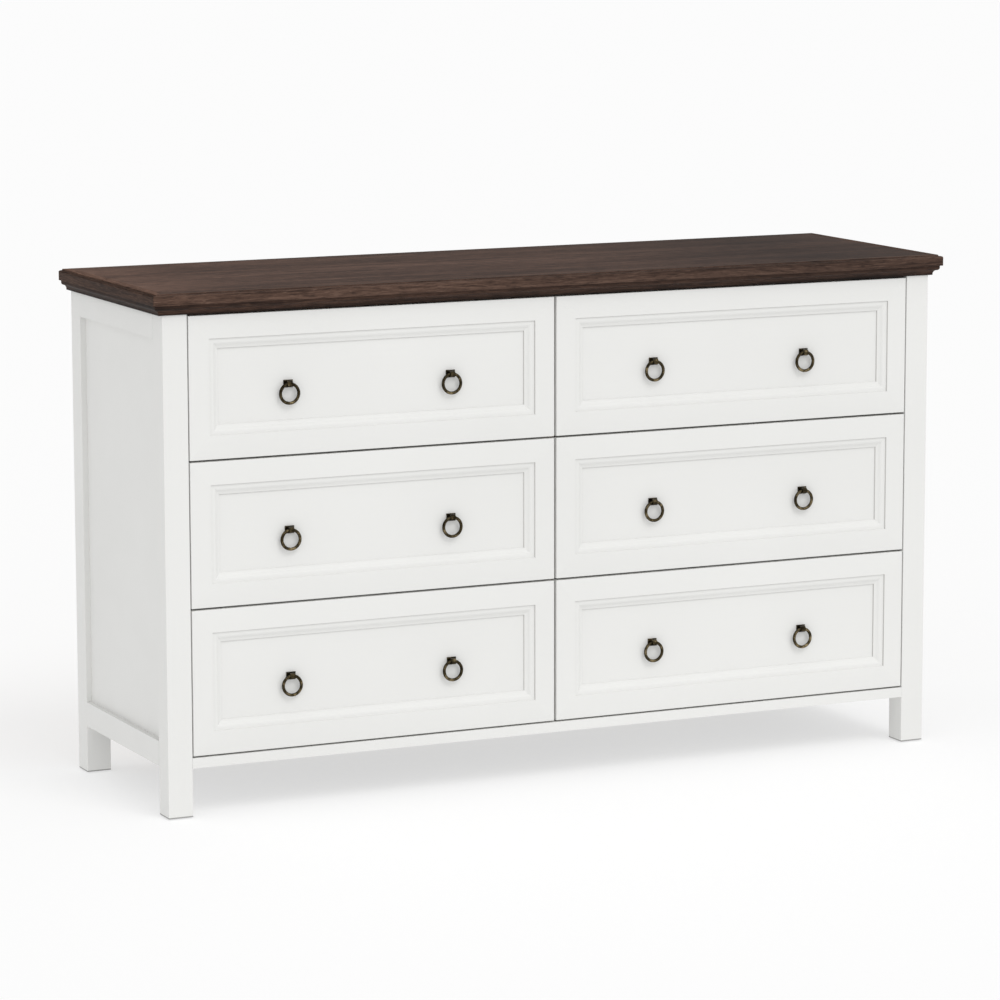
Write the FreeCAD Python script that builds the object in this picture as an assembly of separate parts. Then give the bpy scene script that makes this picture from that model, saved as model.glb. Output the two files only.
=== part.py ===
import FreeCAD, Part
import math
import os

V = FreeCAD.Vector

# A wide dresser: a painted frame-and-panel case on four straight legs, a moulded walnut top,
# and six full-inset drawers in three rows of two, each with two brass ring pulls.
# Millimetres. +X to the right, -Y to the front, +Z up. The origin is on the floor, under the
# middle of the top.

# ---- case
CASE_W = 1400.0          # over the outer faces of the posts
CASE_D = 427.0           # front face of the front posts to rear face of the rear posts
CASE_TOP = 815.0         # underside of the top
RAIL_UNDERSIDE = 81.0    # clear leg height
POST = 42.0              # square posts
GLIDE_H = 2.0            # nail-on glides that the legs stand on
SIDE_RAIL_H = 41.0
SIDE_RAIL_T = 22.0
FRONT_RAIL_H = 17.0
CROSS_RAIL_T = 20.0
CROSS_RAIL_W = 60.0      # flat rails under the top
TENON = 20.0             # length of the rail tenons
TENON_T = 8.0
PANEL_RECESS = 10.0      # side panel behind the outer face of the rails
PANEL_T = 9.0
HOUSING = 8.0            # depth of the panel and bottom grooves
BACK_T = 5.0
BACK_RECESS = 1.0        # back panel inside the rear faces of the posts
BACK_LAP = 10.0          # back panel over each rear post
DIVIDER_T = 18.0
DIVIDER_X = -10.5        # its middle: the left drawers are a little narrower than the right ones

# ---- top
TOP_T = 35.0
OVERHANG_SIDE = 20.0
OVERHANG_FRONT = 16.0
OVERHANG_REAR = 3.0
LIPPING_W = 22.0         # moulded solid edge round the top board

# ---- drawers
GAP = 3.4                # between one row of drawer fronts and the next
GAP_POST = 2.0
GAP_CENTRE = 4.2         # between the two drawers of a row
ROW_LINES = (99.0, 339.5, 578.6, 813.7)   # a front stops half a gap short of its row's lines
FRONT_T = 20.0
STILE_W = 34.8           # flat border beside the moulding
RAIL_W = 37.8            # flat border above and below it
QUIRK_W = 0.9            # small step at the moulding's outer edge
QUIRK_STEP = 2.2
QUIRK_LAND = 3.7
OGEE_W = 12.0
FILLET_W = 0.8           # small step at its inner edge
FILLET_STEP = 2.0
RECESS = 9.8             # flat field behind the face
EDGE_R = 1.0             # softened painted edges

BOX_H = 185.0
BOX_RISE = 16.0          # drawer box above the lower edge of its front
BOX_SIDE_T = 15.0
BOX_BACK_T = 12.0
BOX_LEN = 357.0
BOX_CLEAR = 2.0          # box side to post or divider
BOX_BOTTOM_T = 6.0
BOX_BOTTOM_RISE = 12.0
BOX_BOTTOM_LAP = 6.0
TAILS = 5                # dovetails at each corner

RUNNER_T = 12.0          # hardwood batten that the grooved drawer side rides on
RUNNER_H = 16.0
RUNNER_RISE = 85.0       # runner's middle above the box's lower edge
RUNNER_LEN = 372.5
GROOVE_DEPTH = 10.5
RUNNING_GAP = 0.3        # between the runner's top and the groove
GROOVE_SLACK = 0.5
GROOVE_STOP = 4.0        # solid wood left ahead of the groove

# ---- ring pulls
PULL_OFFSET = 143.0      # between each pull and their middle
PULL_SHIFT = -5.5        # both pulls along X from a middle place
PULL_RISE = -2.3         # above the drawer's middle
RING_R = 15.75           # centre line of the ring
WIRE_R = 2.55
PLATE_W = 16.0
PLATE_H = 12.5
PLATE_T = 2.0
KNUCKLE_W = 8.5
KNUCKLE_R = 5.2
KNUCKLE_OUT = 7.0        # bore's axis in front of the drawer's field
NECK_H = 9.0
BORE_R = 3.3

# ---- screws
WOOD_SCREW_R = 1.8
WOOD_HEAD_R = 3.6
WOOD_HEAD_H = 2.4
MACHINE_SCREW_R = 2.0
MACHINE_HEAD_R = 4.5
MACHINE_HEAD_H = 2.6
CROSS_LEN = 4.0          # cross recess of every head
CROSS_T = 0.9
CROSS_DEPTH = 1.4

# ---- places that follow
HALF_W = CASE_W / 2
MID_Y = (OVERHANG_REAR - OVERHANG_FRONT) / 2
FRONT_Y = -CASE_D / 2 - MID_Y
REAR_Y = CASE_D / 2 - MID_Y
POST_IN_X = HALF_W - POST
FRONT_POST_IN_Y = FRONT_Y + POST
REAR_POST_IN_Y = REAR_Y - POST
RAIL_IN_X = HALF_W - SIDE_RAIL_T
BACK_Y = REAR_Y - BACK_RECESS - BACK_T
TOP_Z = CASE_TOP + TOP_T
FRONT_BACK_Y = FRONT_Y + FRONT_T
FIELD_Y = FRONT_Y + RECESS
BOX_FRONT_IN_Y = FRONT_BACK_Y + BOX_SIDE_T
BOX_REAR_Y = FRONT_BACK_Y + BOX_LEN
RUNNER_FRONT_Y = FRONT_BACK_Y + GROOVE_STOP + GROOVE_SLACK
MOULDING_W = QUIRK_W + QUIRK_LAND + OGEE_W + FILLET_W
BOTTOM_Z = RAIL_UNDERSIDE + 4.0
BOTTOM_T = 9.0

SIDES = (("left", -1), ("right", 1))
ENDS = (("front", FRONT_Y, FRONT_POST_IN_Y), ("rear", REAR_POST_IN_Y, REAR_Y))
ROWS = ("bottom", "middle", "top")
PULLS = (("outer", 1), ("inner", -1))


def block(x0, x1, y0, y1, z0, z1):
    """A box between two corners, in any order along X."""
    low_x = min(x0, x1)
    return Part.makeBox(abs(x1 - x0), y1 - y0, z1 - z0, V(low_x, y0, z0))


def without(shape, cutters):
    """The shape with each cutter taken away."""
    for cutter in cutters:
        shape = shape.cut(cutter)
    return shape


def softened(shape, radius, wanted):
    """Round the edges that wanted() picks out."""
    chosen = [edge for edge in shape.Edges if wanted(edge)]
    return shape.makeFillet(radius, chosen)


def is_vertical(edge):
    return abs(edge.Vertexes[0].Z - edge.Vertexes[-1].Z) > POST


def prism(points, direction):
    """A straight prism from a closed outline of points."""
    outline = Part.makePolygon(points + [points[0]])
    return Part.Face(outline).extrude(direction)


def arc(start, middle, end):
    return Part.Arc(start, middle, end).toShape()


def line(start, end):
    return Part.LineSegment(start, end).toShape()


def save(name, pieces):
    """Write one node: a single solid, or a group of separate solids."""
    solids = [solid for piece in pieces for solid in piece.Solids]
    shape = solids[0] if len(solids) == 1 else Part.makeCompound(solids)
    shape.exportStep("parts/" + name + ".step")


def wood_screw(point, direction, length):
    """A countersunk screw whose flat head is flush at the point. It is also the shape of its hole."""
    head = Part.makeCone(WOOD_HEAD_R, WOOD_SCREW_R, WOOD_HEAD_H, point, direction)
    shank = Part.makeCylinder(WOOD_SCREW_R, length, point, direction)
    return head.fuse(shank).removeSplitter()


def cross_recess(screw, point, direction):
    """The screw with a driver's cross sunk into its head at the point."""
    half, thin = CROSS_LEN / 2, CROSS_T / 2
    one = Part.makeBox(CROSS_LEN, CROSS_T, 2 * CROSS_DEPTH, V(-half, -thin, -CROSS_DEPTH))
    other = Part.makeBox(CROSS_T, CROSS_LEN, 2 * CROSS_DEPTH, V(-thin, -half, -CROSS_DEPTH))
    cross = one.fuse(other)
    cross.Placement = FreeCAD.Placement(point, FreeCAD.Rotation(V(0, 0, 1), direction))
    return screw.cut(cross)


def driven(places):
    """The holes for wood screws at the places, and the screws themselves."""
    holes = [wood_screw(*place) for place in places]
    screws = [cross_recess(hole, place[0], place[1]) for hole, place in zip(holes, places)]
    return holes, screws


# ---------------------------------------------------------------- places of the case's screws
def runner_levels():
    """Height of the middle of each row's runners."""
    return [low + GAP / 2 + BOX_RISE + RUNNER_RISE for low in ROW_LINES[:-1]]


def runner_screws():
    """Two screws fix each runner: into the posts outside, into the divider inside."""
    post_depth = 20.0
    divider_depth = 8.0
    places = []
    for _, side in SIDES:
        for z in runner_levels():
            for y in (RUNNER_FRONT_Y + 9.0, REAR_POST_IN_Y + 6.0):
                face = V(side * (POST_IN_X - RUNNER_T), y, z)
                places.append((face, V(side, 0, 0), RUNNER_T + post_depth))
            for y in (FRONT_POST_IN_Y + 15.0, REAR_POST_IN_Y - 18.0):
                face = V(DIVIDER_X + side * (DIVIDER_T / 2 + RUNNER_T), y, z)
                places.append((face, V(-side, 0, 0), RUNNER_T + divider_depth))
    return places


def top_screws():
    """Screws up through the flat rails into the underside of the top board."""
    places = []
    for x in (-600.0, -220.0, 220.0, 600.0):
        for y in (FRONT_BACK_Y + 33.0, BACK_Y - 30.0):
            places.append((V(x, y, CASE_TOP - CROSS_RAIL_T), V(0, 0, 1), 40.0))
    return places


def back_screws():
    """Screws round the back panel, and down the divider behind it."""
    across = [-520.0, -260.0, 260.0, 520.0]
    upper = CASE_TOP - CROSS_RAIL_T / 2
    lower = RAIL_UNDERSIDE + SIDE_RAIL_H / 2
    places = [(x, z) for x in across for z in (lower, upper)]
    places += [(DIVIDER_X, 300.0), (DIVIDER_X, 600.0)]
    beside = POST_IN_X + BACK_LAP / 2
    places += [(side * beside, z) for _, side in SIDES for z in (150.0, 350.0, 550.0, 750.0)]
    return [(V(x, BACK_Y + BACK_T, z), V(0, -1, 0), BACK_T + 16.0) for x, z in places]


# ---------------------------------------------------------------- case
def tenon(side, y0, y1, z0, z1):
    """A tenon at the end of a side rail, along Y."""
    middle = side * (HALF_W - SIDE_RAIL_T / 2)
    return block(middle - TENON_T / 2, middle + TENON_T / 2, y0, y1, z0, z1)


def side_rail(side, low, high):
    """A rail of the side frame: shoulders between the posts and a tenon at each end."""
    body = block(side * RAIL_IN_X, side * HALF_W, FRONT_POST_IN_Y, REAR_POST_IN_Y, low, high)
    reach = TENON
    inset = 6.0
    body = body.fuse(tenon(side, FRONT_POST_IN_Y - reach, REAR_POST_IN_Y + reach, low + inset, high - inset))
    return body.removeSplitter()


def side_rails(side):
    bottom = side_rail(side, RAIL_UNDERSIDE, RAIL_UNDERSIDE + SIDE_RAIL_H)
    top = side_rail(side, CASE_TOP - SIDE_RAIL_H, CASE_TOP)
    return bottom, top


def side_panel(side):
    """The flat panel, let into grooves in the posts and rails."""
    outer = side * (HALF_W - PANEL_RECESS)
    inner = side * (HALF_W - PANEL_RECESS - PANEL_T)
    low = RAIL_UNDERSIDE + SIDE_RAIL_H - HOUSING
    high = CASE_TOP - SIDE_RAIL_H + HOUSING
    return block(inner, outer, FRONT_POST_IN_Y - HOUSING, REAR_POST_IN_Y + HOUSING, low, high)


def post(side, y0, y1):
    body = block(side * POST_IN_X, side * HALF_W, y0, y1, GLIDE_H, CASE_TOP)
    return softened(body, EDGE_R, is_vertical)


def front_bottom_rail():
    """The narrow rail below the lowest drawers, tenoned into the front posts."""
    low = RAIL_UNDERSIDE
    high = low + FRONT_RAIL_H
    body = block(-POST_IN_X, POST_IN_X, FRONT_Y, FRONT_POST_IN_Y, low, high)
    shoulder = 10.0
    reach = POST_IN_X + TENON
    tongue = block(-reach, reach, FRONT_Y + shoulder, FRONT_POST_IN_Y - shoulder, low + 5, high - 5)
    return body.fuse(tongue).removeSplitter()


def rear_bottom_rail():
    low = RAIL_UNDERSIDE
    high = low + SIDE_RAIL_H
    body = block(-POST_IN_X, POST_IN_X, BACK_Y - CROSS_RAIL_T, BACK_Y, low, high)
    inset = 6.0
    reach = POST_IN_X + TENON
    tongue = block(-reach, reach, BACK_Y - CROSS_RAIL_T + inset, BACK_Y - inset, low + inset, high - inset)
    return body.fuse(tongue).removeSplitter()


def flat_rail(y0):
    """A flat cross rail under the top, between the side rails."""
    return block(-RAIL_IN_X, RAIL_IN_X, y0, y0 + CROSS_RAIL_W, CASE_TOP - CROSS_RAIL_T, CASE_TOP)


def bottom_panel():
    """The bottom of the case, grooved into the four bottom rails."""
    reach_x = RAIL_IN_X + HOUSING
    front = FRONT_POST_IN_Y - HOUSING
    rear = BACK_Y - CROSS_RAIL_T + HOUSING
    return block(-reach_x, reach_x, front, rear, BOTTOM_Z, BOTTOM_Z + BOTTOM_T)


def divider():
    half = DIVIDER_T / 2
    front = FRONT_BACK_Y + 3.0
    return block(DIVIDER_X - half, DIVIDER_X + half, front, BACK_Y, BOTTOM_Z + BOTTOM_T, CASE_TOP)


def back_panel():
    reach = POST_IN_X + BACK_LAP
    return block(-reach, reach, BACK_Y, BACK_Y + BACK_T, RAIL_UNDERSIDE, CASE_TOP)


def rear_rebate(side):
    """The rebate in a rear post that the back panel lies in."""
    outer = side * (POST_IN_X + BACK_LAP)
    return block(side * (POST_IN_X - EDGE_R), outer, BACK_Y, REAR_Y + 1.0, RAIL_UNDERSIDE, CASE_TOP)


def runners():
    """Twelve hardwood battens, one for each side of each drawer."""
    battens = []
    rear = RUNNER_FRONT_Y + RUNNER_LEN
    for _, side in SIDES:
        for foot in (side * (POST_IN_X - RUNNER_T), DIVIDER_X + side * DIVIDER_T / 2):
            for z in runner_levels():
                low = z - RUNNER_H / 2
                battens.append(block(foot, foot + side * RUNNER_T, RUNNER_FRONT_Y, rear, low, low + RUNNER_H))
    return battens


def glide(side, y):
    """A round glide on the end of a leg, with its nail."""
    radius = 13.0
    x = side * (HALF_W - POST / 2)
    disc = Part.makeCylinder(radius, GLIDE_H, V(x, y, 0))
    disc = softened(disc, 0.8, lambda edge: edge.BoundBox.ZMax < 0.01)
    nail = Part.makeCylinder(1.5, 16.0, V(x, y, GLIDE_H))
    return disc.fuse(nail).removeSplitter()


def make_case():
    holes, screws = driven(runner_screws() + top_screws() + back_screws())
    rails = {name: side_rails(side) for name, side in SIDES}
    panels = {name: side_panel(side) for name, side in SIDES}
    front_rail = front_bottom_rail()
    rear_rail = rear_bottom_rail()
    floor = bottom_panel()
    posts = {}
    for end, y0, y1 in ENDS:
        for name, side in SIDES:
            cutters = list(rails[name]) + [panels[name], front_rail, rear_rail]
            if end == "rear":
                cutters.append(rear_rebate(side))
            posts[end, name] = without(post(side, y0, y1), cutters)
    glides = [glide(side, (y0 + y1) / 2) for _, side in SIDES for _, y0, y1 in ENDS]
    for (end, name), shape in posts.items():
        save("post_" + end + "_" + name, [without(shape, holes + glides)])
    for name, _ in SIDES:
        bottom, top = rails[name]
        save("side_rail_bottom_" + name, [without(bottom, [panels[name], floor])])
        save("side_rail_top_" + name, [without(top, [panels[name]])])
        save("side_panel_" + name, [panels[name]])
    front_flat = flat_rail(FRONT_BACK_Y + 3.0)
    rear_flat = flat_rail(BACK_Y - CROSS_RAIL_W)
    post_blanks = [post(side, y0, y1) for _, side in SIDES for _, y0, y1 in ENDS]
    save("front_bottom_rail", [front_rail.cut(floor)])
    save("rear_bottom_rail", [without(rear_rail, [floor] + holes)])
    save("front_top_rail", [without(front_flat, post_blanks + holes)])
    save("rear_top_rail", [without(rear_flat, post_blanks + holes)])
    save("bottom_panel", [without(floor, post_blanks)])
    save("centre_divider", [without(divider(), [front_flat, rear_flat, front_rail, rear_rail] + holes)])
    save("back_panel", [back_panel().cut(Part.makeCompound(holes))])
    save("drawer_runners", [without(batten, holes) for batten in runners()])
    save("case_screws", screws)
    save("foot_glides", glides)


# ---------------------------------------------------------------- top
def edge_profile(at):
    """The moulded edge as a face. at(u, z) places a point u inside the outermost face."""
    top = TOP_Z
    low = CASE_TOP
    edges = [
        line(at(LIPPING_W, top), at(6.5, top)),
        line(at(6.5, top), at(6.1, top - 2.0)),
        line(at(6.1, top - 2.0), at(2.2, top - 2.5)),
        arc(at(2.2, top - 2.5), at(0.65, top - 3.15), at(0.0, top - 4.7)),
        line(at(0.0, top - 4.7), at(0.0, low + 16.5)),
        line(at(0.0, low + 16.5), at(4.0, low + 16.2)),
        line(at(4.0, low + 16.2), at(4.0, low + 12.6)),
        arc(at(4.0, low + 12.6), at(5.3, low + 9.6), at(8.4, low + 8.3)),
        line(at(8.4, low + 8.3), at(9.0, low + 8.3)),
        arc(at(9.0, low + 8.3), at(11.9, low + 5.6), at(13.0, low + 1.4)),
        line(at(13.0, low + 1.4), at(13.0, low)),
        line(at(13.0, low), at(LIPPING_W, low)),
        line(at(LIPPING_W, low), at(LIPPING_W, top)),
    ]
    return Part.Face(Part.Wire(edges))


def make_top():
    out_x = HALF_W + OVERHANG_SIDE
    front = FRONT_Y - OVERHANG_FRONT
    rear = REAR_Y + OVERHANG_REAR
    in_x = out_x - LIPPING_W
    board = block(-in_x, in_x, front + LIPPING_W, rear, CASE_TOP, TOP_Z)
    save("top_board", [without(board, driven(top_screws())[0])])

    tall = V(0, 0, TOP_T + 2)
    z = CASE_TOP - 1

    strip = edge_profile(lambda u, h: V(-out_x, front + u, h)).extrude(V(2 * out_x, 0, 0))
    inner = front + LIPPING_W
    mitre = prism([V(-out_x, front, z), V(out_x, front, z), V(in_x, inner, z), V(-in_x, inner, z)], tall)
    save("top_moulding_front", [strip.common(mitre)])

    for name, side in SIDES:
        strip = edge_profile(lambda u, h: V(side * (out_x - u), front, h)).extrude(V(0, rear - front, 0))
        corners = [V(side * out_x, front, z), V(side * out_x, rear, z), V(side * in_x, rear, z)]
        mitre = prism(corners + [V(side * in_x, inner, z)], tall)
        save("top_moulding_" + name, [strip.common(mitre)])


# ---------------------------------------------------------------- drawers
def moulding_profile(at):
    """Section of the wood routed away. at(s, d) is s inside the border and d behind the face."""
    land_end = QUIRK_W + QUIRK_LAND
    ogee_end = land_end + OGEE_W
    foot_d = RECESS - FILLET_STEP
    mid_s = (land_end + ogee_end) / 2
    mid_d = (QUIRK_STEP + foot_d) / 2
    proud = -2.0
    bulge = 0.75
    hollow = 0.45
    quarter = OGEE_W / 4
    quarter_d = (foot_d - QUIRK_STEP) / 4
    edges = [
        line(at(0.0, proud), at(0.0, 0.0)),
        line(at(0.0, 0.0), at(QUIRK_W, QUIRK_STEP)),
        line(at(QUIRK_W, QUIRK_STEP), at(land_end, QUIRK_STEP)),
        arc(
            at(land_end, QUIRK_STEP),
            at(land_end + quarter, QUIRK_STEP + quarter_d - bulge),
            at(mid_s, mid_d),
        ),
        arc(
            at(mid_s, mid_d),
            at(mid_s + quarter, mid_d + quarter_d + hollow),
            at(ogee_end, foot_d),
        ),
        line(at(ogee_end, foot_d), at(MOULDING_W, RECESS)),
        line(at(MOULDING_W, RECESS), at(MOULDING_W, proud)),
        line(at(MOULDING_W, proud), at(0.0, proud)),
    ]
    return Part.Face(Part.Wire(edges))


def routed_recess(x0, x1, z0, z1):
    """Everything routed out of a drawer front: four mitred runs of moulding and the flat field."""
    w = MOULDING_W
    deep = V(0, RECESS + 4, 0)
    y = FRONT_Y - 3
    runs = (
        (lambda s, d: V(x0, FRONT_Y + d, z0 + s), V(x1 - x0, 0, 0),
         [V(x0, y, z0), V(x1, y, z0), V(x1 - w, y, z0 + w), V(x0 + w, y, z0 + w)]),
        (lambda s, d: V(x0, FRONT_Y + d, z1 - s), V(x1 - x0, 0, 0),
         [V(x0, y, z1), V(x1, y, z1), V(x1 - w, y, z1 - w), V(x0 + w, y, z1 - w)]),
        (lambda s, d: V(x0 + s, FRONT_Y + d, z0), V(0, 0, z1 - z0),
         [V(x0, y, z0), V(x0, y, z1), V(x0 + w, y, z1 - w), V(x0 + w, y, z0 + w)]),
        (lambda s, d: V(x1 - s, FRONT_Y + d, z0), V(0, 0, z1 - z0),
         [V(x1, y, z0), V(x1, y, z1), V(x1 - w, y, z1 - w), V(x1 - w, y, z0 + w)]),
    )
    cutters = [moulding_profile(at).extrude(along).common(prism(wedge, deep)) for at, along, wedge in runs]
    cutters.append(block(x0 + w, x1 - w, y, FIELD_Y, z0 + w, z1 - w))
    return cutters


def drawer_front(x0, x1, z0, z1):
    body = block(x0, x1, FRONT_Y, FRONT_BACK_Y, z0, z1)
    body = softened(body, EDGE_R, lambda edge: edge.BoundBox.YMax < FRONT_Y + 0.01)
    return without(body, routed_recess(x0 + STILE_W, x1 - STILE_W, z0 + RAIL_W, z1 - RAIL_W))


def tails(x0, x1, y_tip, y_root, z0, z1):
    """The dovetails of one drawer corner, wider at the tip."""
    pitch = (z1 - z0) / TAILS
    slope = 2.5
    narrow = pitch * 0.30
    pieces = []
    for i in range(TAILS):
        middle = z0 + (i + 0.5) * pitch
        outline = [
            V(x0, y_tip, middle - narrow - slope),
            V(x0, y_tip, middle + narrow + slope),
            V(x0, y_root, middle + narrow),
            V(x0, y_root, middle - narrow),
        ]
        pieces.append(prism(outline, V(x1 - x0, 0, 0)))
    return Part.makeCompound(pieces)


def drawer_box(x0, x1, z0, runner_z, fixings):
    """Two grooved sides, an inner front and a back, dovetailed, with the bottom in its groove."""
    z1 = z0 + BOX_H
    t = BOX_SIDE_T
    front = FRONT_BACK_Y
    rear = BOX_REAR_Y
    lap = BOX_BOTTOM_LAP
    floor_z = z0 + BOX_BOTTOM_RISE
    floor = block(x0 + t - lap, x1 - t + lap, front + t - lap, rear - BOX_BACK_T + lap,
                  floor_z, floor_z + BOX_BOTTOM_T)
    grooves = [
        block(near, far, front + GROOVE_STOP, rear + 1,
              runner_z - RUNNER_H / 2 - GROOVE_SLACK, runner_z + RUNNER_H / 2 + RUNNING_GAP)
        for near, far in ((x0 - 1, x0 + GROOVE_DEPTH), (x1 - GROOVE_DEPTH, x1 + 1))
    ]
    inner_front = block(x0, x1, front, front + t, z0, z1)
    back = block(x0, x1, rear - BOX_BACK_T, rear, z0, z1)
    walls = []
    for near, far in ((x0, x0 + t), (x1 - t, x1)):
        wall = block(near, far, front, rear, z0, z1)
        front_tails = tails(near, far, front, front + t, z0, z1)
        rear_tails = tails(near, far, rear, rear - BOX_BACK_T, z0, z1)
        front_corner = block(near, far, front, front + t, z0, z1)
        rear_corner = block(near, far, rear - BOX_BACK_T, rear, z0, z1)
        wall = without(wall, [front_corner.cut(front_tails), rear_corner.cut(rear_tails)])
        inner_front = inner_front.cut(front_tails)
        back = back.cut(rear_tails)
        walls.append(wall)
    cutters = grooves + [floor]
    pieces = [without(piece, cutters) for piece in walls + [back]]
    pieces.append(without(inner_front, cutters + fixings))
    return pieces, floor


def ring_mount(x, z):
    """Square back plate and rounded knuckle, bored along X for the ring."""
    axis_y = FIELD_Y - KNUCKLE_OUT
    plate = block(x - PLATE_W / 2, x + PLATE_W / 2, FIELD_Y - PLATE_T, FIELD_Y,
                  z - PLATE_H / 2, z + PLATE_H / 2)
    plate = softened(plate, 0.6, lambda edge: edge.BoundBox.YMax < FIELD_Y - PLATE_T + 0.01)
    left = x - KNUCKLE_W / 2
    neck = block(left, left + KNUCKLE_W, axis_y, FIELD_Y - PLATE_T / 2, z - NECK_H / 2, z + NECK_H / 2)
    barrel = Part.makeCylinder(KNUCKLE_R, KNUCKLE_W, V(left, axis_y, z), V(1, 0, 0))
    bore = Part.makeCylinder(BORE_R, KNUCKLE_W + 2, V(left - 1, axis_y, z), V(1, 0, 0))
    return plate.fuse(neck).fuse(barrel).removeSplitter().cut(bore)


def mount_screw(x, z):
    """The machine screw that holds a ring mount, put in from inside the drawer."""
    head_y = BOX_FRONT_IN_Y
    reach = head_y - FIELD_Y + PLATE_T + 1.5
    shank = Part.makeCylinder(MACHINE_SCREW_R, reach, V(x, head_y, z), V(0, -1, 0))
    head = Part.makeCylinder(MACHINE_HEAD_R, MACHINE_HEAD_H, V(x, head_y, z), V(0, 1, 0))
    head = softened(head, 1.2, lambda edge: edge.BoundBox.YMin > head_y + MACHINE_HEAD_H - 0.01)
    return head.fuse(shank).removeSplitter()


def ring(x, z):
    """The ring hangs through the bore. Its centre line is level with the bore halfway along it."""
    half = KNUCKLE_W / 2
    sag = RING_R - math.sqrt(RING_R ** 2 - half ** 2)
    centre = V(x, FIELD_Y - KNUCKLE_OUT, z + sag / 2 - RING_R)
    return Part.makeTorus(RING_R, WIRE_R, centre, V(0, 1, 0))


def make_drawer(row, column, side):
    """One drawer with its front, dovetailed box, bottom, pull hardware and rings."""
    title = ROWS[row] + "_" + column
    x0, x1 = sorted((DIVIDER_X + side * GAP_CENTRE / 2, side * (POST_IN_X - GAP_POST)))
    z0 = ROW_LINES[row] + GAP / 2
    z1 = ROW_LINES[row + 1] - GAP / 2
    middle_x = (x0 + x1) / 2 + PULL_SHIFT
    pull_z = (z0 + z1) / 2 + PULL_RISE
    pull_places = {name: middle_x + side * way * PULL_OFFSET for name, way in PULLS}

    box_near = DIVIDER_X + side * (DIVIDER_T / 2 + BOX_CLEAR)
    b0, b1 = sorted((box_near, side * (POST_IN_X - BOX_CLEAR)))
    box_z = z0 + BOX_RISE

    screw_in = 6.0
    front_places = [
        (V(x, BOX_FRONT_IN_Y, box_z + rise), V(0, -1, 0), BOX_SIDE_T + 12.0)
        for x in (b0 + BOX_SIDE_T + screw_in, b1 - BOX_SIDE_T - screw_in)
        for rise in (45.0, 150.0)
    ]
    front_holes, front_screws = driven(front_places)
    mount_screws = [mount_screw(x, pull_z) for x in pull_places.values()]
    holes = front_holes + mount_screws
    mounts = [without(ring_mount(x, pull_z), mount_screws) for x in pull_places.values()]
    head_y = BOX_FRONT_IN_Y + MACHINE_HEAD_H
    mount_screws = [
        cross_recess(screw, V(x, head_y, pull_z), V(0, -1, 0))
        for screw, x in zip(mount_screws, pull_places.values())
    ]

    box, floor = drawer_box(b0, b1, box_z, runner_levels()[row], holes)
    save("drawer_" + title + "_front", [without(drawer_front(x0, x1, z0, z1), holes)])
    save("drawer_" + title + "_box", box)
    save("drawer_" + title + "_bottom", [floor])
    save("drawer_" + title + "_hardware", mounts + front_screws + mount_screws)
    for name, x in pull_places.items():
        save("ring_" + title + "_" + name, [ring(x, pull_z)])


os.makedirs("parts", exist_ok=True)
make_case()
make_top()
for row_index in range(len(ROWS)):
    for column_name, column_side in SIDES:
        make_drawer(row_index, column_name, column_side)
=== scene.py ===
import math

import bmesh
import bpy
from mathutils import Matrix, Vector


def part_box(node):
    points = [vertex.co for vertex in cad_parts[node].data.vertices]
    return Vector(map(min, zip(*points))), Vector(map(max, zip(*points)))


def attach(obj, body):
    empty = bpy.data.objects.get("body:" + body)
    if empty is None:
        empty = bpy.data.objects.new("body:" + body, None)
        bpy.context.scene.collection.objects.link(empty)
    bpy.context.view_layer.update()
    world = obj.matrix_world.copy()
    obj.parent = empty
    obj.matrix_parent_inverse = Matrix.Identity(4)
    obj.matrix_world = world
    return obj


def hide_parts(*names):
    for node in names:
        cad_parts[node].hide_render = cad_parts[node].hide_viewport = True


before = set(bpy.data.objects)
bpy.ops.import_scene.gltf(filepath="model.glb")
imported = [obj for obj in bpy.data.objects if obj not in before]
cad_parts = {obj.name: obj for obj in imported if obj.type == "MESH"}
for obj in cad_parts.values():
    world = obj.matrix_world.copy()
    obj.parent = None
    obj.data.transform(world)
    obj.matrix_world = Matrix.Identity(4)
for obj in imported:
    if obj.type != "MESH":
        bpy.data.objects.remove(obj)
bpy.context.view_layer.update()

MM = 0.001

ROWS = ("bottom", "middle", "top")
SIDES = (("left", -1), ("right", 1))
DRAWERS = [row + "_" + side for row in ROWS for side, _ in SIDES]

# ---- drawer fronts, as on the CAD pieces
STILE_W = 34.8 * MM          # flat border beside the moulding
RAIL_W = 37.8 * MM           # flat border above and below it
QUIRK_W = 0.9 * MM           # outer step: its width, its depth and the flat behind it
QUIRK_STEP = 2.2 * MM
QUIRK_LAND = 3.7 * MM
OGEE_W = 12.0 * MM
BULGE = 0.75 * MM            # how far the ogee's two halves leave a straight slope
HOLLOW = 0.45 * MM
FILLET_W = 0.8 * MM          # inner step
FILLET_STEP = 2.0 * MM
RECESS = 9.8 * MM            # flat field behind the face
EDGE_R = 1.0 * MM            # rounded outer edge
EDGE_POINTS = 5

# ---- top
TOP_HALF_W = 0.72
TOP_UNDERSIDE = 0.815
TOP_SURFACE = 0.850

# ---- drawer boxes
SIDE_T = 15.0 * MM
BACK_T = 12.0 * MM
JOINT_MARGIN = 0.2 * MM      # keeps a change of grain off a board's own face
TAILS = 5
TAIL_SPREAD = 2.5 * MM

# ---- stage
FLOOR_HALF = 90.0
FLOOR_GREY = 0.44
FLOOR_GLOW = 0.556
DOME_FROM_FRONT = ((0.0, 1.0), (0.30, 0.97), (0.50, 0.86), (0.70, 0.78), (0.93, 0.20))
DOME_LEFT = 1.11
DOME_RIGHT = 0.86
KEY_POWER = 0.65
KEY_SPREAD = 28.0
KEY_TOWARDS = (-0.17, 0.64, -0.80)

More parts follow.
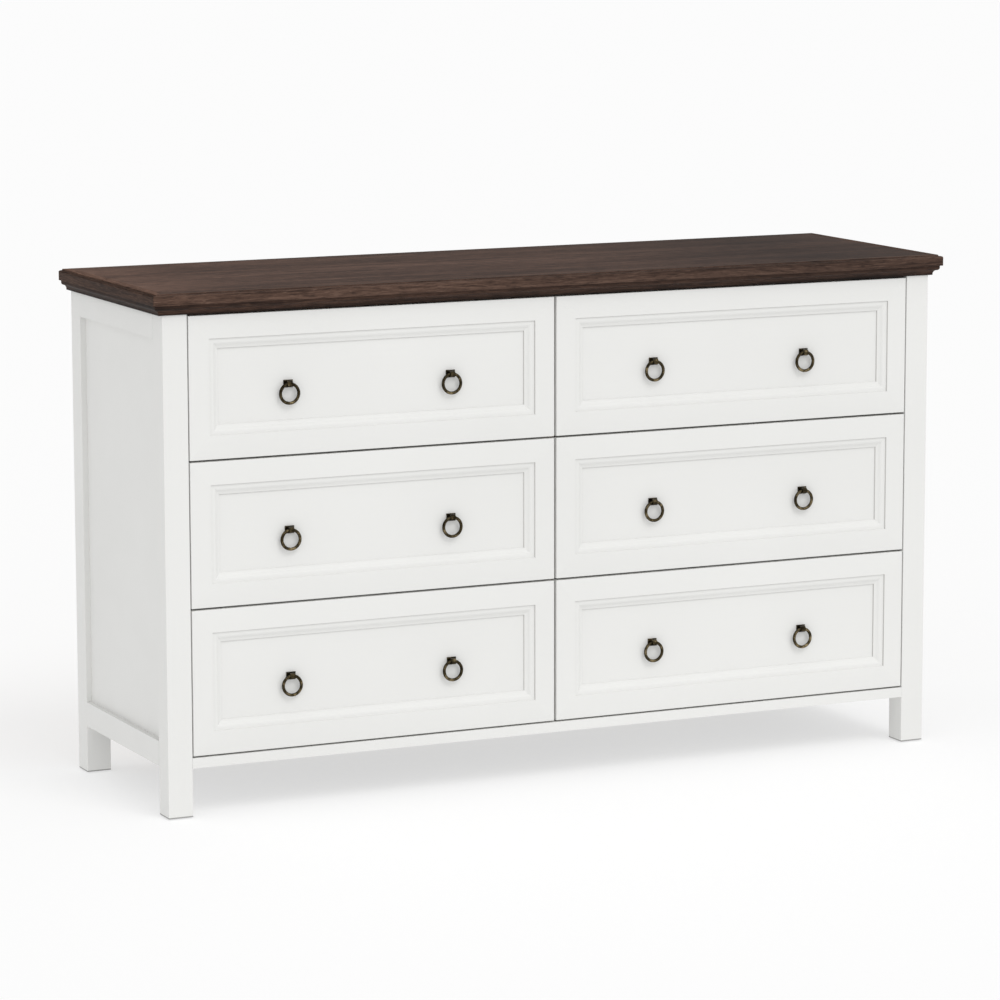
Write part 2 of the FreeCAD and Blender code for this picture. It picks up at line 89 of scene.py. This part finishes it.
# ---- camera
CAMERA_PLACE = (-3.0484, -6.4451, 1.5732)
CAMERA_TURN = (25.208, 9.006, -0.099)
SENSOR_W = 36.0
LENS = 152.7


# ================================================================ shapes
def circle_through(a, b, c):
    """Centre and radius of the circle through three points of a plane."""
    d = 2 * (a[0] * (b[1] - c[1]) + b[0] * (c[1] - a[1]) + c[0] * (a[1] - b[1]))
    sa, sb, sc = (p[0] ** 2 + p[1] ** 2 for p in (a, b, c))
    x = (sa * (b[1] - c[1]) + sb * (c[1] - a[1]) + sc * (a[1] - b[1])) / d
    y = (sa * (c[0] - b[0]) + sb * (a[0] - c[0]) + sc * (b[0] - a[0])) / d
    return (x, y), math.hypot(a[0] - x, a[1] - y)


def arc(a, b, c, steps):
    """Points on the arc from a through b to c, with both ends."""
    (x, y), r = circle_through(a, b, c)
    start, middle, end = (math.atan2(p[1] - y, p[0] - x) for p in (a, b, c))
    turn = (end - start) % (2 * math.pi)
    if (middle - start) % (2 * math.pi) > turn:
        turn -= 2 * math.pi
    angles = [start + turn * i / steps for i in range(steps + 1)]
    return [(x + r * math.cos(t), y + r * math.sin(t)) for t in angles]


def new_piece(name, mesh, body, replaced, material):
    piece = bpy.data.objects.new(name, mesh)
    bpy.context.scene.collection.objects.link(piece)
    piece.data.materials.append(material)
    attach(piece, body)
    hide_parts(*replaced)
    return piece


def finished_mesh(name, points, faces, smooth_angle=32.0, sharp=()):
    """A mesh with outward faces, smooth but for its sharp edges."""
    mesh = bpy.data.meshes.new(name)
    mesh.from_pydata(points, [], faces)
    work = bmesh.new()
    work.from_mesh(mesh)
    bmesh.ops.recalc_face_normals(work, faces=work.faces)
    work.to_mesh(mesh)
    work.free()
    mesh.shade_smooth()
    mesh.set_sharp_from_angle(angle=math.radians(smooth_angle))
    if sharp:
        wanted = {tuple(sorted(pair)) for pair in sharp}
        flags = mesh.attributes.get("sharp_edge") or mesh.attributes.new("sharp_edge", "BOOLEAN", "EDGE")
        for edge in mesh.edges:
            if tuple(sorted(edge.vertices)) in wanted:
                flags.data[edge.index].value = True
    return mesh


def soften(piece, width, segments=2, angle=40.0):
    bevel = piece.modifiers.new("soft_edges", "BEVEL")
    bevel.width = width
    bevel.segments = segments
    bevel.limit_method = "ANGLE"
    bevel.angle_limit = math.radians(angle)
    bevel.harden_normals = True
    return piece


# ---------------------------------------------------------------- the top's moulded edge
def edge_outline():
    """Closed section of the top's moulding, in mm inside the outermost face and above the underside:
    from the inner top round the band, the step and the cove to the inner foot."""
    mm = [(22.0, 35.0), (6.5, 35.0), (6.1, 33.0)]
    mm += arc((2.2, 32.5), (0.65, 31.85), (0.0, 30.3), 8)
    mm += [(0.0, 16.5), (4.0, 16.2), (4.0, 12.6)]
    mm += arc((4.0, 12.6), (5.3, 9.6), (8.4, 8.3), 10)[1:]
    mm += [(9.0, 8.3)]
    mm += arc((9.0, 8.3), (11.9, 5.6), (13.0, 1.4), 10)[1:]
    mm += [(13.0, 0.0), (22.0, 0.0)]
    return [(u * MM, h * MM) for u, h in mm]


def swept_edge(name, start_of, end_of, replaced, material):
    """The outline carried from one end plane to the other; start_of and end_of place (u, h)."""
    outline = edge_outline()
    n = len(outline)
    points = [start_of(u, h) for u, h in outline] + [end_of(u, h) for u, h in outline]
    faces = [(i, (i + 1) % n, n + (i + 1) % n, n + i) for i in range(n)]
    faces += [tuple(range(n)), tuple(range(n, 2 * n))]
    mesh = finished_mesh(name, points, faces)
    piece = new_piece(name, mesh, "case", [replaced], material)
    return soften(piece, 0.35 * MM)


def make_top_edges(material_x, material_y):
    low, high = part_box("top_moulding_front")
    x, y, z = high.x, low.y, low.z
    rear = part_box("top_moulding_left")[1].y
    swept_edge(
        "top_edge_front",
        lambda u, h: (-x + u, y + u, z + h),
        lambda u, h: (x - u, y + u, z + h),
        "top_moulding_front", material_x,
    )
    for side, way in SIDES:
        swept_edge(
            "top_edge_" + side,
            lambda u, h: (way * (x - u), y + u, z + h),
            lambda u, h: (way * (x - u), rear, z + h),
            "top_moulding_" + side, material_y,
        )


# ---------------------------------------------------------------- drawer fronts
def front_section():
    """(inset at the sides, inset above and below, depth) of each rectangle from the edge to the field."""
    turns = [math.pi / 2 * i / (EDGE_POINTS - 1) for i in range(EDGE_POINTS)]
    rounds = [(EDGE_R * (1 - math.cos(t)), EDGE_R * (1 - math.sin(t))) for t in turns]
    land_end = QUIRK_W + QUIRK_LAND
    ogee_end = land_end + OGEE_W
    foot = RECESS - FILLET_STEP
    middle = ((land_end + ogee_end) / 2, (QUIRK_STEP + foot) / 2)
    quarter, quarter_d = OGEE_W / 4, (foot - QUIRK_STEP) / 4
    rise = (land_end + quarter, QUIRK_STEP + quarter_d - BULGE)
    fall = (middle[0] + quarter, middle[1] + quarter_d + HOLLOW)
    moulding = [(0.0, 0.0), (QUIRK_W, QUIRK_STEP)]
    moulding += arc((land_end, QUIRK_STEP), rise, middle, 10)
    moulding += arc(middle, fall, (ogee_end, foot), 10)[1:]
    moulding += [(ogee_end + FILLET_W, RECESS)]
    section = [(inset, inset, depth) for inset, depth in rounds]
    section += [(STILE_W + inset, RAIL_W + inset, depth) for inset, depth in moulding]
    return section


def make_front(drawer, material, step_shade_material):
    """A drawer front. The narrow steps in its moulding's right and top runs carry painted shade, a little
    darker.
    """
    node = "drawer_" + drawer + "_front"
    low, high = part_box(node)
    rings = [(0.0, 0.0, high.y - low.y)] + front_section()
    points = []
    for beside, above, depth in rings:
        y = low.y + depth
        points += [
            (low.x + beside, y, low.z + above), (high.x - beside, y, low.z + above),
            (high.x - beside, y, high.z - above), (low.x + beside, y, high.z - above),
        ]
    faces = [(0, 1, 2, 3)]
    mitres = []
    for k in range(len(rings) - 1):
        a, b = 4 * k, 4 * (k + 1)
        faces += [(a + i, a + (i + 1) % 4, b + (i + 1) % 4, b + i) for i in range(4)]
        mitres += [(a + i, b + i) for i in range(4)]
    last = 4 * (len(rings) - 1)
    faces.append(tuple(last + i for i in range(4)))
    mesh = finished_mesh("face_" + drawer, points, faces, sharp=mitres)
    piece = new_piece("face_" + drawer, mesh, "drawer_" + drawer, [node], material)
    mesh.materials.append(step_shade_material)
    # The outer and inner steps of the right and top runs take the painted-shade paint.
    outer_step, inner_step = EDGE_POINTS + 1, len(rings) - 2
    right_run, top_run = 1, 2
    for step in (outer_step, inner_step):
        for run in (right_run, top_run):
            mesh.polygons[1 + 4 * step + run].material_index = 1
    return piece


# ================================================================ materials
class Finish:
    """A short way to write one procedural material."""

    def __init__(self, name):
        self.material = bpy.data.materials.new(name)
        self.material.use_nodes = True
        self.tree = self.material.node_tree
        self.tree.nodes.clear()
        out = self.tree.nodes.new("ShaderNodeOutputMaterial")
        self.shader = self.tree.nodes.new("ShaderNodeBsdfPrincipled")
        self.tree.links.new(self.shader.outputs[0], out.inputs["Surface"])
        self.place = self.coordinates("Object")

    def put(self, value, socket):
        """Link a node's output to a socket, or set the socket's own value."""
        if isinstance(value, bpy.types.NodeSocket):
            self.tree.links.new(value, socket)
        else:
            socket.default_value = value

    def set(self, **values):
        for name, value in values.items():
            self.put(value, self.shader.inputs[name.replace("_", " ")])

    def stretched(self, scale, vector=None):
        node = self.tree.nodes.new("ShaderNodeMapping")
        self.put(vector or self.place, node.inputs["Vector"])
        node.inputs["Scale"].default_value = scale
        return node.outputs[0]

    def noise(self, vector, scale=1.0, detail=4.0, roughness=0.5, distortion=0.0):
        node = self.tree.nodes.new("ShaderNodeTexNoise")
        self.put(vector, node.inputs["Vector"])
        node.inputs["Scale"].default_value = scale
        node.inputs["Detail"].default_value = detail
        node.inputs["Roughness"].default_value = roughness
        node.inputs["Distortion"].default_value = distortion
        return node.outputs["Fac"]

    def coordinates(self, kind):
        return self.tree.nodes.new("ShaderNodeTexCoord").outputs[kind]

    def math(self, operation, a, b=0.0, clamp=False):
        node = self.tree.nodes.new("ShaderNodeMath")
        node.operation = operation
        node.use_clamp = clamp
        self.put(a, node.inputs[0])
        self.put(b, node.inputs[1])
        return node.outputs[0]

    def spread(self, value, low, high, to_low=0.0, to_high=1.0):
        node = self.tree.nodes.new("ShaderNodeMapRange")
        self.put(value, node.inputs["Value"])
        node.inputs["From Min"].default_value = low
        node.inputs["From Max"].default_value = high
        node.inputs["To Min"].default_value = to_low
        node.inputs["To Max"].default_value = to_high
        return node.outputs[0]

    def ramp(self, value, stops):
        node = self.tree.nodes.new("ShaderNodeValToRGB")
        self.put(value, node.inputs[0])
        ramp = node.color_ramp
        while len(ramp.elements) < len(stops):
            ramp.elements.new(0.5)
        for element, (place, colour) in zip(ramp.elements, stops):
            element.position = place
            element.color = (*colour, 1)
        return node.outputs["Color"]

    def blend(self, factor, a, b, way="MIX"):
        node = self.tree.nodes.new("ShaderNodeMix")
        node.data_type = "RGBA"
        node.blend_type = way
        self.put(factor, node.inputs[0])
        self.put(a if isinstance(a, bpy.types.NodeSocket) else (*a, 1), node.inputs[6])
        self.put(b if isinstance(b, bpy.types.NodeSocket) else (*b, 1), node.inputs[7])
        return node.outputs[2]

    def split(self, vector):
        node = self.tree.nodes.new("ShaderNodeSeparateXYZ")
        self.put(vector, node.inputs[0])
        return node.outputs

    def join(self, x, y, z):
        node = self.tree.nodes.new("ShaderNodeCombineXYZ")
        for value, socket in zip((x, y, z), node.inputs):
            self.put(value, socket)
        return node.outputs[0]

    def bump(self, height, strength, depth, under=None):
        node = self.tree.nodes.new("ShaderNodeBump")
        node.inputs["Strength"].default_value = strength
        node.inputs["Distance"].default_value = depth
        self.put(height, node.inputs["Height"])
        if under is not None:
            self.put(under, node.inputs["Normal"])
        return node.outputs[0]


def along(axis, length, across):
    """Scale that draws a pattern out along one axis: length and across are features per metre."""
    return tuple(length if a == axis else across for a in "xyz")


def white_paint(name, axis, shade=0.0):
    """Sprayed satin paint over wood, with a faint grain along the piece and a painted contact shadow at the
    foot.

    shade darkens it with painted shade, for the narrow steps of a moulding."""
    f = Finish(name)
    cloud = f.noise(f.place, 2.5, 3.0)
    tone = f.ramp(cloud, [(0.3, (0.745, 0.745, 0.728)), (0.7, (0.770, 0.770, 0.753))])
    grain = f.noise(f.stretched(along(axis, 6, 260)), 1.0, 3.0, 0.6)
    tone = f.blend(f.spread(grain, 0.3, 0.75, 0.0, 0.05), tone, (0.70, 0.69, 0.66))
    # Painted shade for a moulding's narrow steps: a darker tone, a little uneven.
    if shade:
        tone = f.blend(f.spread(cloud, 0.3, 0.7, 0.8 * shade, shade), tone, (0.30, 0.29, 0.27))
    # Painted contact shadow: a dark band over the lowest few millimetres, the legs' feet just above the
    # glides.
    _, _, z = f.split(f.place)
    tone = f.blend(f.spread(z, 4.2 * MM, 3.0 * MM, 0.0, 0.75), tone, (0.060, 0.057, 0.052))
    peel = f.noise(f.place, 650.0, 2.0)
    rough = f.spread(f.noise(f.place, 24.0, 4.0), 0.3, 0.7, 0.40, 0.50)
    lines = f.bump(grain, 0.25, 0.12 * MM)
    f.set(Base_Color=tone, Roughness=rough, Normal=f.bump(peel, 0.20, 0.05 * MM, lines))
    f.set(Specular_IOR_Level=0.45)
    return f.material


def walnut(name, axis, depth, gloss, painted_light_x, edge=1.0):
    """Dark stained walnut: broad bands, wandering figure, fine flecks, satin lacquer.

    depth scales the wood's own colours, the five levels after gloss are painted light and shade
    along the top from its left end to its right end, a painted sheen lighter at the left, and edge
    darkens the moulded faces as painted shade."""
    f = Finish(name)
    wander = f.noise(f.stretched(along(axis, 1.6, 5)), 1.0, 2.0)
    x, y, z = f.split(f.place)
    drift = f.math("MULTIPLY", f.math("SUBTRACT", wander, 0.5), 0.06)
    parts = {"x": x, "y": y, "z": z}
    moved = {a: (parts[a] if a == axis else f.math("ADD", parts[a], drift)) for a in "xyz"}
    place = f.join(moved["x"], moved["y"], moved["z"])
    bands = f.noise(f.stretched(along(axis, 0.8, 16), vector=place), 1.0, 2.0)
    figure = f.noise(f.stretched(along(axis, 3.4, 75), vector=place), 1.0, 5.0, 0.62, 0.4)
    streaks = f.noise(f.stretched(along(axis, 9.0, 330), vector=place), 1.0, 4.0, 0.70)
    mixed = f.math("ADD", f.math("MULTIPLY", bands, 0.35), f.math("MULTIPLY", figure, 0.65))
    mixed = f.math("ADD", mixed, f.math("MULTIPLY", f.math("SUBTRACT", streaks, 0.5), 0.50))
    stops = [
        (0.30, (0.0170, 0.0080, 0.0048)), (0.44, (0.0470, 0.0250, 0.0170)),
        (0.56, (0.0850, 0.0475, 0.0335)), (0.74, (0.1550, 0.0930, 0.0680)),
    ]
    tone = f.ramp(mixed, [(at, tuple(depth * c for c in colour)) for at, colour in stops])
    flecks = f.noise(f.stretched(along(axis, 46, 460), vector=place), 1.0, 3.0, 0.7)
    fleck = f.spread(flecks, 0.52, 0.64, 0.0, 1.0)
    tone = f.blend(f.math("MULTIPLY", fleck, 0.62), tone, (0.012, 0.006, 0.004))
    glint = f.spread(flecks, 0.44, 0.34, 0.0, 0.5)
    tone = f.blend(glint, tone, tuple(depth * c for c in (0.170, 0.105, 0.078)))
    # Painted light and shade along the board: a painted sheen lighter toward the left end, darker toward the
    # right.
    cloudy = f.math("ADD", x, f.math("MULTIPLY", f.math("SUBTRACT", figure, 0.5), 0.30))
    painted_sheen_and_shade = [(at, (k, k, k)) for at, k in zip((0.0, 0.13, 0.60, 0.87, 1.0), painted_light_x)]
    tone = f.blend(1.0, tone, f.ramp(f.spread(cloudy, -TOP_HALF_W, TOP_HALF_W), painted_sheen_and_shade), "MULTIPLY")
    # Painted shade on the moulded edge: darker in the cove under the band and darkest at the foot; edge
    # darkens it further on the side ends.
    foot, cove = (tuple(k * edge * c for c in (1.0, 0.88, 0.80)) for k in (0.25, 0.56))
    band, surface = (edge,) * 3, (1.0,) * 3
    shade_by_height = [(0.02, foot), (0.10, cove), (0.43, cove), (0.47, band), (0.95, band), (0.98, surface)]
    tone = f.blend(1.0, tone, f.ramp(f.spread(z, TOP_UNDERSIDE, TOP_SURFACE), shade_by_height), "MULTIPLY")
    rough = f.spread(figure, 0.3, 0.7, 0.42, 0.52)
    height = f.math("SUBTRACT", f.math("MULTIPLY", streaks, 0.5), fleck)
    f.set(Base_Color=tone, Roughness=rough, Normal=f.bump(height, 0.28, 0.10 * MM))
    f.set(Specular_IOR_Level=gloss)
    return f.material


def pale_wood(name, grain_of, light, dark, figure_across=70.0, flecks=0.25, crisp=0.30):
    """Clear-finished pale wood. grain_of gives coordinates with the grain along their X, and where the
    grain's ends show. crisp is the share of fine streaks in the figure."""
    f = Finish(name)
    place, ends = grain_of(f)
    wander = f.noise(f.stretched((1.5, 5, 5), vector=place), 1.0, 2.0)
    x, y, z = f.split(place)
    drift = f.math("MULTIPLY", f.math("SUBTRACT", wander, 0.5), 0.05)
    place = f.join(x, f.math("ADD", y, drift), f.math("ADD", z, drift))
    figure = f.noise(f.stretched((1.8, figure_across, figure_across), vector=place), 1.0, 6.0, 0.62, 0.6)
    streaks = f.noise(f.stretched((6, 420, 420), vector=place), 1.0, 4.0, 0.65)
    mixed = f.math("ADD", f.math("MULTIPLY", figure, 1.0 - crisp), f.math("MULTIPLY", streaks, crisp))
    tone = f.ramp(mixed, [(0.34, dark), (0.64, light)])
    pores = f.spread(f.noise(f.stretched((40, 1000, 1000), vector=place), 1.0, 1.0), 0.60, 0.70)
    tone = f.blend(f.math("MULTIPLY", pores, flecks), tone, tuple(0.45 * c for c in dark))
    tone = f.blend(f.math("MULTIPLY", ends, 0.45), tone, tuple(0.5 * c for c in dark))
    f.set(Base_Color=tone, Roughness=f.spread(streaks, 0.3, 0.7, 0.48, 0.60))
    f.set(Normal=f.bump(f.math("SUBTRACT", streaks, pores), 0.25, 0.08 * MM), Specular_IOR_Level=0.35)
    return f.material


def facing(f, axis):
    """1 on faces square to one axis of the object."""
    part = f.split(f.coordinates("Normal"))["xyz".index(axis)]
    return f.math("GREATER_THAN", f.math("ABSOLUTE", part), 0.7)


def straight(axis):
    """Grain along one axis of the object."""
    def make(f):
        x, y, z = f.split(f.place)
        order = {"x": (x, y, z), "y": (y, x, z), "z": (z, x, y)}[axis]
        return f.join(*order), facing(f, axis)
    return make


def box_grain(low, high):
    """Grain of a dovetailed drawer box: along X in its front and back, along Y in its sides and
    their tails."""
    wide, deep, tall = high - low
    pitch = tall / TAILS

    def make(f):
        x, y, z = f.split(f.place)
        gx, gy, gz = f.split(f.coordinates("Generated"))
        from_end = f.math("MULTIPLY", f.math("MINIMUM", gx, f.math("SUBTRACT", 1.0, gx)), wide)
        from_front = f.math("MULTIPLY", gy, deep)
        from_back = f.math("MULTIPLY", f.math("SUBTRACT", 1.0, gy), deep)
        ahead = f.math("LESS_THAN", from_front, SIDE_T + JOINT_MARGIN)
        behind = f.math("LESS_THAN", from_back, BACK_T + JOINT_MARGIN)
        at_corner = f.math("ADD", ahead, behind, clamp=True)
        beside = f.math("LESS_THAN", from_end, SIDE_T + JOINT_MARGIN)
        step = f.math("SUBTRACT", f.math("FRACT", f.math("MULTIPLY", gz, float(TAILS))), 0.5)
        from_middle = f.math("MULTIPLY", f.math("ABSOLUTE", step), pitch)
        nearest = f.math("DIVIDE", f.math("MINIMUM", from_front, from_back), SIDE_T)
        half = f.math("SUBTRACT", 0.30 * pitch + TAIL_SPREAD, f.math("MULTIPLY", nearest, TAIL_SPREAD))
        tail = f.math("MULTIPLY", beside, f.math("LESS_THAN", from_middle, half))
        across = f.math("MULTIPLY", at_corner, f.math("SUBTRACT", 1.0, tail))
        rest = f.math("SUBTRACT", 1.0, across)
        run = f.math("ADD", f.math("MULTIPLY", across, x), f.math("MULTIPLY", rest, y))
        other = f.math("ADD", f.math("MULTIPLY", across, y), f.math("MULTIPLY", rest, x))
        ends_x = f.math("MULTIPLY", across, facing(f, "x"))
        ends = f.math("ADD", ends_x, f.math("MULTIPLY", rest, facing(f, "y")))
        return f.join(run, other, z), ends
    return make


def antique_brass(name, rubbed_and_highlit=False):
    """Darkened brass, worn brighter in places at random; on a ring also brighter in front and at the
    bottom, part rubbed wear and part painted highlight.
    """
    f = Finish(name)
    cloud = f.noise(f.place, 110.0, 5.0, 0.6)
    fine = f.noise(f.place, 900.0, 4.0, 0.6)
    wear_and_highlight = f.spread(f.math("ADD", f.math("MULTIPLY", cloud, 0.7), f.math("MULTIPLY", fine, 0.3)), 0.40, 0.70)
    # On a ring: brighter in front and at the bottom, part rubbed wear and part painted highlight.
    if rubbed_and_highlit:
        _, y, z = f.split(f.coordinates("Generated"))
        ahead = f.spread(y, 0.50, 0.0, -0.30, 0.12)
        low = f.spread(z, 0.45, 0.0, 0.0, 0.16)
        wear_and_highlight = f.math("ADD", wear_and_highlight, f.math("ADD", ahead, low), clamp=True)
    dark, half_worn, bright = (0.014, 0.011, 0.006), (0.055, 0.043, 0.023), (0.32, 0.25, 0.14)
    tone = f.ramp(wear_and_highlight, [(0.0, dark), (0.5, half_worn), (1.0, bright)])
    f.set(Base_Color=tone, Roughness=f.spread(wear_and_highlight, 0.0, 1.0, 0.42, 0.26))
    f.set(Normal=f.bump(fine, 0.25, 0.06 * MM), Metallic=1.0)
    return f.material


def grey_primer():
    """Matt primer rolled on the underside."""
    f = Finish("grey_primer")
    cloud = f.noise(f.place, 5.0, 4.0)
    roller = f.noise(f.place, 420.0, 3.0)
    tone = f.ramp(cloud, [(0.3, (0.27, 0.27, 0.265)), (0.7, (0.32, 0.32, 0.315))])
    f.set(Base_Color=tone, Roughness=f.spread(roller, 0.3, 0.7, 0.75, 0.88))
    f.set(Normal=f.bump(roller, 0.35, 0.12 * MM), Specular_IOR_Level=0.25)
    return f.material


def zinc_steel():
    """Zinc-plated screws."""
    f = Finish("zinc_steel")
    fine = f.noise(f.place, 700.0, 3.0)
    cloud = f.noise(f.place, 60.0, 3.0)
    tone = f.ramp(cloud, [(0.35, (0.42, 0.42, 0.40)), (0.65, (0.60, 0.60, 0.57))])
    f.set(Base_Color=tone, Roughness=f.spread(fine, 0.3, 0.7, 0.30, 0.45), Metallic=1.0)
    f.set(Normal=f.bump(fine, 0.15, 0.04 * MM))
    return f.material


def nylon():
    """Matt dark nylon of the glides."""
    f = Finish("nylon")
    fine = f.noise(f.place, 800.0, 3.0)
    cloud = f.noise(f.place, 40.0, 2.0)
    tone = f.ramp(cloud, [(0.35, (0.035, 0.030, 0.026)), (0.65, (0.055, 0.048, 0.042))])
    f.set(Base_Color=tone, Roughness=f.spread(fine, 0.3, 0.7, 0.45, 0.60))
    f.set(Normal=f.bump(fine, 0.3, 0.06 * MM))
    return f.material


def finish_node(node, material):
    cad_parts[node].material_slots[0].material = material


def dress_case(paint_x, paint_y, paint_z, board):
    """Give the carried-over case pieces their finishes."""
    beech = dict(light=(0.55, 0.37, 0.23), dark=(0.40, 0.25, 0.145))
    ply = dict(light=(0.60, 0.44, 0.29), dark=(0.46, 0.32, 0.20))
    beech_x = pale_wood("beech_x", straight("x"), **beech)
    beech_y = pale_wood("beech_y", straight("y"), **beech)
    ply_x = pale_wood("plywood_x", straight("x"), figure_across=30.0, flecks=0.15, crisp=0.45, **ply)
    ply_z = pale_wood("plywood_z", straight("z"), figure_across=30.0, flecks=0.15, crisp=0.45, **ply)
    finishes = {
        "top_board": board,
        "front_bottom_rail": paint_x,
        "front_top_rail": beech_x,
        "rear_top_rail": beech_x,
        "rear_bottom_rail": beech_x,
        "bottom_panel": grey_primer(),
        "back_panel": ply_x,
        "centre_divider": ply_z,
        "drawer_runners": beech_y,
        "case_screws": zinc_steel(),
        "foot_glides": nylon(),
    }
    for side, _ in SIDES:
        finishes["post_front_" + side] = paint_z
        finishes["post_rear_" + side] = paint_z
        finishes["side_panel_" + side] = paint_z
        finishes["side_rail_top_" + side] = paint_y
        finishes["side_rail_bottom_" + side] = paint_y
    for node, material in finishes.items():
        finish_node(node, material)


def dress_drawers():
    """Give the carried-over drawer and ring pieces their finishes."""
    maple = dict(light=(0.66, 0.50, 0.33), dark=(0.50, 0.35, 0.205))
    ply = dict(light=(0.64, 0.49, 0.33), dark=(0.50, 0.36, 0.23))
    wood = {
        side: pale_wood("drawer_maple_" + side, box_grain(*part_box("drawer_top_" + side + "_box")), **maple)
        for side, _ in SIDES
    }
    bottom = pale_wood("drawer_plywood", straight("x"), figure_across=34.0, flecks=0.15, crisp=0.45, **ply)
    brass = antique_brass("antique_brass")
    ring_brass = antique_brass("rubbed_highlit_brass", rubbed_and_highlit=True)
    for drawer in DRAWERS:
        side = drawer.split("_")[1]
        finish_node("drawer_" + drawer + "_box", wood[side])
        finish_node("drawer_" + drawer + "_bottom", bottom)
        finish_node("drawer_" + drawer + "_hardware", brass)
        for place in ("outer", "inner"):
            finish_node("ring_" + drawer + "_" + place, ring_brass)


# ================================================================ stage
def make_floor():
    """A plain pale floor with a little light of its own."""
    mesh = bpy.data.meshes.new("floor")
    corners = [(x * FLOOR_HALF, y * FLOOR_HALF, 0) for x, y in ((-1, -1), (1, -1), (1, 1), (-1, 1))]
    mesh.from_pydata(corners, [], [(0, 1, 2, 3)])
    floor = bpy.data.objects.new("floor", mesh)
    bpy.context.scene.collection.objects.link(floor)
    f = Finish("studio_floor")
    f.set(Base_Color=(FLOOR_GREY, FLOOR_GREY, FLOOR_GREY, 1), Roughness=0.9, Specular_IOR_Level=0.0)
    f.set(Emission_Color=(1, 1, 1, 1), Emission_Strength=FLOOR_GLOW)
    mesh.materials.append(f.material)


def make_light():
    """Soft daylight-white studio: a dome, brighter in front and on the left, and one broad key light
    from above the front, a little to the right."""
    world = bpy.data.worlds.new("studio")
    bpy.context.scene.world = world
    world.use_nodes = True
    nodes, links = world.node_tree.nodes, world.node_tree.links
    place = nodes.new("ShaderNodeTexCoord")
    parts = nodes.new("ShaderNodeSeparateXYZ")
    links.new(place.outputs["Generated"], parts.inputs[0])
    depth = nodes.new("ShaderNodeMapRange")
    depth.inputs["From Min"].default_value = -1.0
    links.new(parts.outputs[1], depth.inputs["Value"])
    ramp = nodes.new("ShaderNodeValToRGB")
    links.new(depth.outputs[0], ramp.inputs[0])
    while len(ramp.color_ramp.elements) < len(DOME_FROM_FRONT):
        ramp.color_ramp.elements.new(0.5)
    for element, (at, level) in zip(ramp.color_ramp.elements, DOME_FROM_FRONT):
        element.position = at
        element.color = (level, level, level, 1)
    across = nodes.new("ShaderNodeMapRange")
    across.inputs["From Min"].default_value = -1.0
    across.inputs["To Min"].default_value = DOME_LEFT
    across.inputs["To Max"].default_value = DOME_RIGHT
    links.new(parts.outputs[0], across.inputs["Value"])
    background = nodes["Background"]
    links.new(ramp.outputs[0], background.inputs["Color"])
    links.new(across.outputs[0], background.inputs["Strength"])

    key = bpy.data.lights.new("key", "SUN")
    key.energy = KEY_POWER
    key.angle = math.radians(KEY_SPREAD)
    lamp = bpy.data.objects.new("key", key)
    lamp.rotation_mode = "QUATERNION"
    lamp.rotation_quaternion = Vector(KEY_TOWARDS).to_track_quat("-Z", "Y")
    bpy.context.scene.collection.objects.link(lamp)


def make_camera():
    """Seen from the front left, a little above: 25 degrees round and 9 degrees down."""
    data = bpy.data.cameras.new("camera")
    camera = bpy.data.objects.new("camera", data)
    bpy.context.scene.collection.objects.link(camera)
    yaw, pitch, roll = (math.radians(a) for a in CAMERA_TURN)
    forward = Vector((math.sin(yaw) * math.cos(pitch), math.cos(yaw) * math.cos(pitch), -math.sin(pitch)))
    right = Vector((math.cos(yaw), -math.sin(yaw), 0))
    up = right.cross(forward)
    tilted = right * math.cos(roll) + up * math.sin(roll)
    upright = up * math.cos(roll) - right * math.sin(roll)
    turn = Matrix((tilted, upright, -forward)).transposed().to_4x4()
    camera.matrix_world = Matrix.Translation(CAMERA_PLACE) @ turn
    data.sensor_width = SENSOR_W
    data.lens = LENS
    data.clip_end = 300.0
    bpy.context.scene.camera = camera


# ================================================================ build
make_camera()
make_floor()
make_light()
bpy.context.scene.view_settings.view_transform = "Standard"

PAINT_X = white_paint("white_paint_x", "x")
PAINT_Y = white_paint("white_paint_y", "y")
PAINT_Z = white_paint("white_paint_z", "z")
# The five levels in each walnut call are painted light and shade along the top; 0.39 is painted shade on the
# side ends.
WALNUT_X = walnut("walnut_x", "x", 1.0, 0.14, (1.24, 1.02, 0.78, 0.68, 0.88))
WALNUT_Y = walnut("walnut_y", "y", 1.9, 0.04, (1.0, 0.64, 0.60, 0.36, 0.60), 0.39)

make_top_edges(WALNUT_X, WALNUT_Y)
# Painted shade for the narrow steps of the drawer fronts' mouldings.
PAINT_STEP_SHADE = white_paint("white_paint_step_shade", "x", shade=0.55)
for drawer in DRAWERS:
    make_front(drawer, PAINT_X, PAINT_STEP_SHADE)
WALNUT_BOARD = walnut("walnut_board", "x", 1.90, 0.13, (1.02, 0.73, 0.64, 0.32, 0.46))
dress_case(PAINT_X, PAINT_Y, PAINT_Z, WALNUT_BOARD)
dress_drawers()
